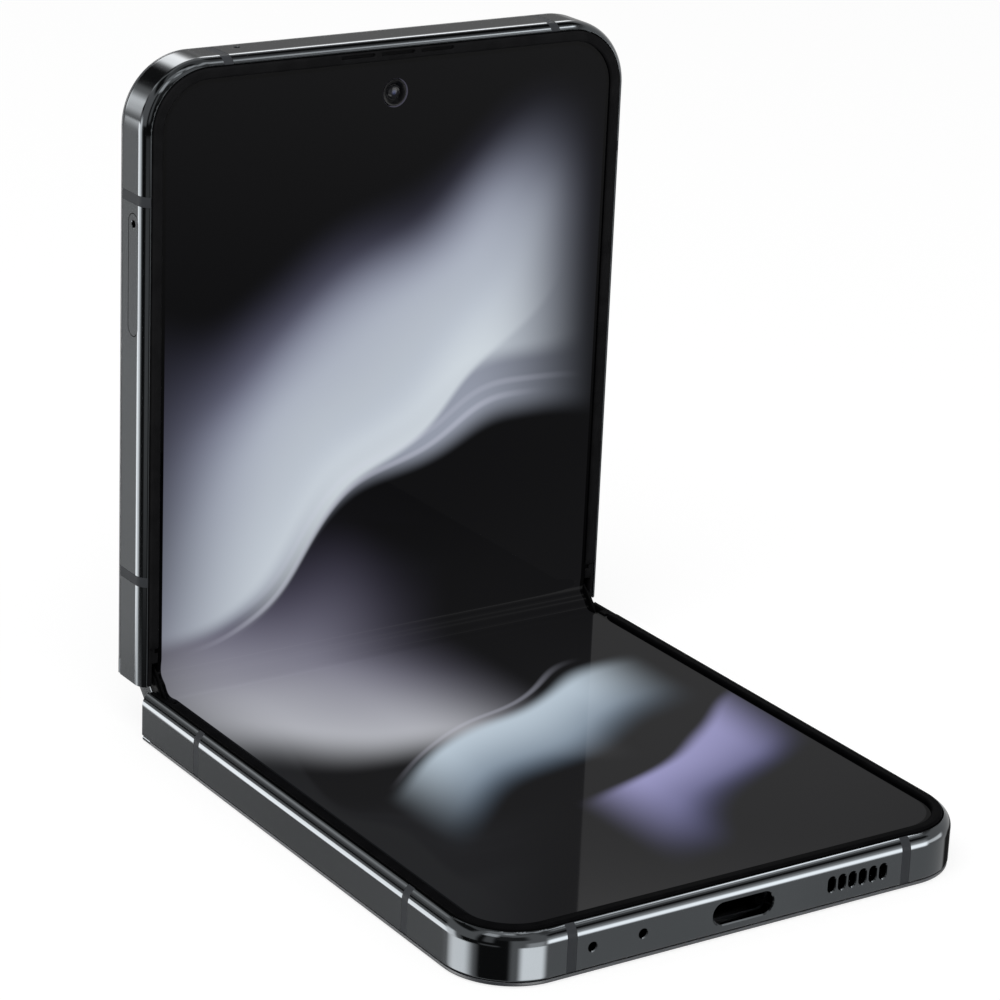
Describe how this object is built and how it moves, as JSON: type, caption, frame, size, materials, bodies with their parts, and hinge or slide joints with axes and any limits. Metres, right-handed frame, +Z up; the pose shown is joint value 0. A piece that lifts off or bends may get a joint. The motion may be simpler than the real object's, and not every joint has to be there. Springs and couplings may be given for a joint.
{
  "type": "foldable smartphone",
  "caption": "Clamshell folding smartphone standing half open: folding display in a raised rim, polished metal frame, geared hinge, side keys and SIM tray.",
  "frame": {"origin": "centre of the base half's flat underside, which rests on the table", "axes": "+X along the hinge, towards the volume and side keys; -Y the base's front edge with the charging port; +Z up, the way the lid half stands"},
  "size_m": [0.0724, 0.0904, 0.0892],
  "materials": {
    "frame_metal": "polished graphite, anodised",
    "antenna_plastic": "dark grey, moulded flush with the frame",
    "back_glass": "satin dark grey, opaque backing",
    "rim_plastic": "soft matt black-grey",
    "display": "glossy folding display, lit",
    "spine_metal": "satin graphite",
    "hinge_steel": "machined",
    "pin_steel": "ground",
    "guard_plastic": "matt black",
    "battery_foil": "dark foil pouch",
    "coil_copper": "enamelled copper wire",
    "board": "solder-masked circuit board",
    "connector_steel": "plated shell",
    "black_plastic": "moulded",
    "screw_steel": "dark plated",
    "lens_glass": "coated lens cover",
    "flash": "diffuser",
    "key_metal": "polished graphite, anodised"
  },
  "bodies": {
    "base": {"base_frame": "frame_metal", "base_antenna_breaks": "antenna_plastic", "base_glass_back": "back_glass", "base_display_rim": "rim_plastic", "base_hinge_bracket": "hinge_steel", "base_battery": "battery_foil", "charging_coil": "coil_copper", "sub_board": "board", "usb_receptacle": "connector_steel", "usb_tongue": "black_plastic", "loudspeaker": "black_plastic", "base_microphones": "connector_steel", "vibration_motor": "connector_steel", "base_screws": "screw_steel", "display_base": "display"},
    "spine": {"hinge_spine_cover": "spine_metal", "hinge_blocks": "hinge_steel", "hinge_pins": "pin_steel", "hinge_centre_strip": "hinge_steel", "hinge_end_guards": "guard_plastic", "display_bend": "display"},
    "lid": {"lid_frame": "frame_metal", "lid_antenna_breaks": "antenna_plastic", "lid_glass_back": "back_glass", "lid_display_rim": "rim_plastic", "lid_hinge_bracket": "hinge_steel", "lid_battery": "battery_foil", "main_board": "board", "cover_display": "lens_glass", "rear_camera_modules": "black_plastic", "rear_camera_rings": "frame_metal", "rear_camera_lenses": "lens_glass", "flash_led": "flash", "front_camera": "lens_glass", "earpiece_speaker": "black_plastic", "lid_microphone": "connector_steel", "sim_socket": "connector_steel", "lid_screws": "screw_steel", "display_lid": "display"},
    "base_sync": {"base_sync_arms": "hinge_steel"},
    "lid_sync": {"lid_sync_arms": "hinge_steel"},
    "base_idler": {"base_idler_gears": "pin_steel"},
    "lid_idler": {"lid_idler_gears": "pin_steel"},
    "sim_tray": {"sim_tray": "key_metal"},
    "volume_rocker": {"volume_rocker": "key_metal"},
    "side_key": {"side_key": "key_metal"}
  },
  "joints": [
    {"name": "spine_fold", "type": "hinge", "parent": "base", "child": "spine", "pos_m": [0, 0.03968, 0.00595], "axis": [1, 0, 0], "range_deg": [-45, 45]},
    {"name": "lid_fold", "type": "hinge", "parent": "spine", "child": "lid", "pos_m": [0, 0.04194, 0.00821], "axis": [1, 0, 0], "range_deg": [-45, 45], "deforming": ["display_bend"]},
    {"name": "base_arm_turn", "type": "hinge", "parent": "spine", "child": "base_sync", "pos_m": [0, 0.03968, 0.00312], "axis": [1, 0, 0], "range_deg": [-45, 45]},
    {"name": "base_idler_turn", "type": "hinge", "parent": "spine", "child": "base_idler", "pos_m": [0, 0.04137, 0.00482], "axis": [1, 0, 0], "range_deg": [-45, 45]},
    {"name": "lid_idler_turn", "type": "hinge", "parent": "spine", "child": "lid_idler", "pos_m": [0, 0.04307, 0.00652], "axis": [1, 0, 0], "range_deg": [-45, 45]},
    {"name": "lid_arm_turn", "type": "hinge", "parent": "spine", "child": "lid_sync", "pos_m": [0, 0.04477, 0.00821], "axis": [1, 0, 0], "range_deg": [-45, 45]},
    {"name": "sim_tray_slide", "type": "slide", "parent": "lid", "child": "sim_tray", "axis": [-1, 0, 0], "range_m": [0, 0.0145]},
    {"name": "volume_press", "type": "slide", "parent": "lid", "child": "volume_rocker", "axis": [-1, 0, 0], "range_m": [0, 0.00025], "stiffness_N_per_m": 2000},
    {"name": "side_key_press", "type": "slide", "parent": "lid", "child": "side_key", "axis": [-1, 0, 0], "range_m": [0, 0.00025], "stiffness_N_per_m": 2000}
  ],
  "couplings": [
    {"joint": "lid_fold", "follows": "spine_fold", "ratio": 1},
    {"joint": "base_arm_turn", "follows": "spine_fold", "ratio": -1},
    {"joint": "base_idler_turn", "follows": "spine_fold", "ratio": 1},
    {"joint": "lid_idler_turn", "follows": "spine_fold", "ratio": -1},
    {"joint": "lid_arm_turn", "follows": "spine_fold", "ratio": 1}
  ]
}
